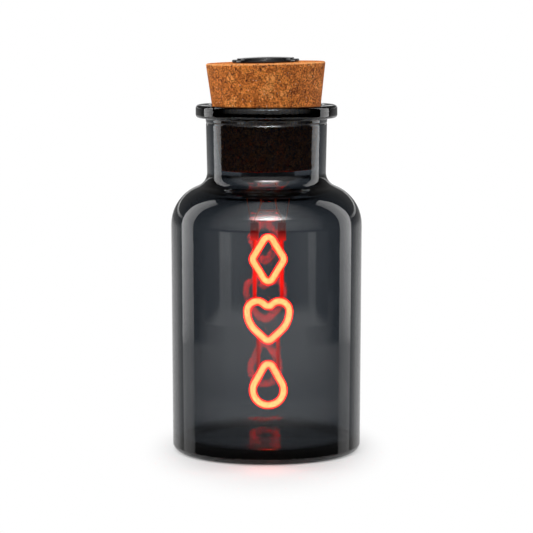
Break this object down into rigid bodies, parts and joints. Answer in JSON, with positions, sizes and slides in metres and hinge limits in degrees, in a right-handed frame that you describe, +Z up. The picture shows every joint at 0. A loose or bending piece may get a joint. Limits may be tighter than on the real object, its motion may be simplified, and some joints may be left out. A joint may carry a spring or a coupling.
{
  "type": "bottle light",
  "caption": "Smoked glass bottle with a cork stopper light: lit red figures hang inside from a housing through the cork with a push button on top.",
  "frame": {"origin": "on the bottle's axis, on the surface it stands on", "axes": "+Z up along the bottle's axis, +X to the right and +Y to the back, seen from the front of the figures"},
  "size_m": [0.0918, 0.0918, 0.1901],
  "materials": {
    "black_gloss": "polished black moulding",
    "black_matte": "plain black moulding",
    "board": "green solder mask",
    "cell": "shrink-wrapped cell",
    "chip": "moulded chip package",
    "clear_sleeve": "clear tube that takes the red light",
    "copper_wire": "bare copper wire",
    "cork": "agglomerated cork, fine grain",
    "lit_core": "lit amber filament strip",
    "nickel": "nickel strip",
    "red_block": "dark red translucent moulding",
    "red_silicone": "translucent red silicone",
    "ribbon": "polyimide ribbon",
    "smoked_glass": "polished, smoked grey",
    "steel": "plated steel"
  },
  "bodies": {
    "bottle": {"bottle": "smoked_glass"},
    "stopper": {"battery_cell": "cell", "cell_cradle": "black_matte", "cell_tabs": "nickel", "charger_chip": "chip", "circuit_board": "board", "cork_stopper": "cork", "diamond_core": "lit_core", "diamond_sleeve": "red_silicone", "driver_chip": "chip", "drop_core": "lit_core", "drop_sleeve": "red_silicone", "end_plate": "black_matte", "end_screws": "steel", "heart_core": "lit_core", "heart_sleeve": "red_silicone", "housing_shell": "black_gloss", "lead_grommets": "black_matte", "lead_ring": "copper_wire", "lead_wire_left": "copper_wire", "lead_wire_right": "copper_wire", "lower_leg_sleeve_left": "clear_sleeve", "lower_leg_sleeve_right": "clear_sleeve", "lower_leg_wire_left": "copper_wire", "lower_leg_wire_right": "copper_wire", "middle_leg_sleeve_left": "clear_sleeve", "middle_leg_sleeve_right": "clear_sleeve", "middle_leg_wire_left": "copper_wire", "middle_leg_wire_right": "copper_wire", "ribbon_cable": "ribbon", "switch_board": "board", "switch_body": "black_matte", "terminal_block_left": "red_block", "terminal_block_right": "red_block", "terminal_pins": "copper_wire", "upper_leg_sleeve_left": "clear_sleeve", "upper_leg_sleeve_right": "clear_sleeve", "upper_leg_wire_left": "copper_wire", "upper_leg_wire_right": "copper_wire", "usb_shell": "steel", "usb_tongue": "black_matte"},
    "button": {"push_button": "black_gloss", "switch_plunger": "black_matte"}
  },
  "joints": [
    {"name": "stopper_lift", "type": "slide", "parent": "bottle", "child": "stopper", "axis": [0, 0, 1], "range_m": [0, 0.16]},
    {"name": "button_press", "type": "slide", "parent": "stopper", "child": "button", "axis": [0.0209, 0, -0.9998], "range_m": [0, 0.0008], "stiffness_N_per_m": 2500, "springref_m": -0.0002}
  ]
}
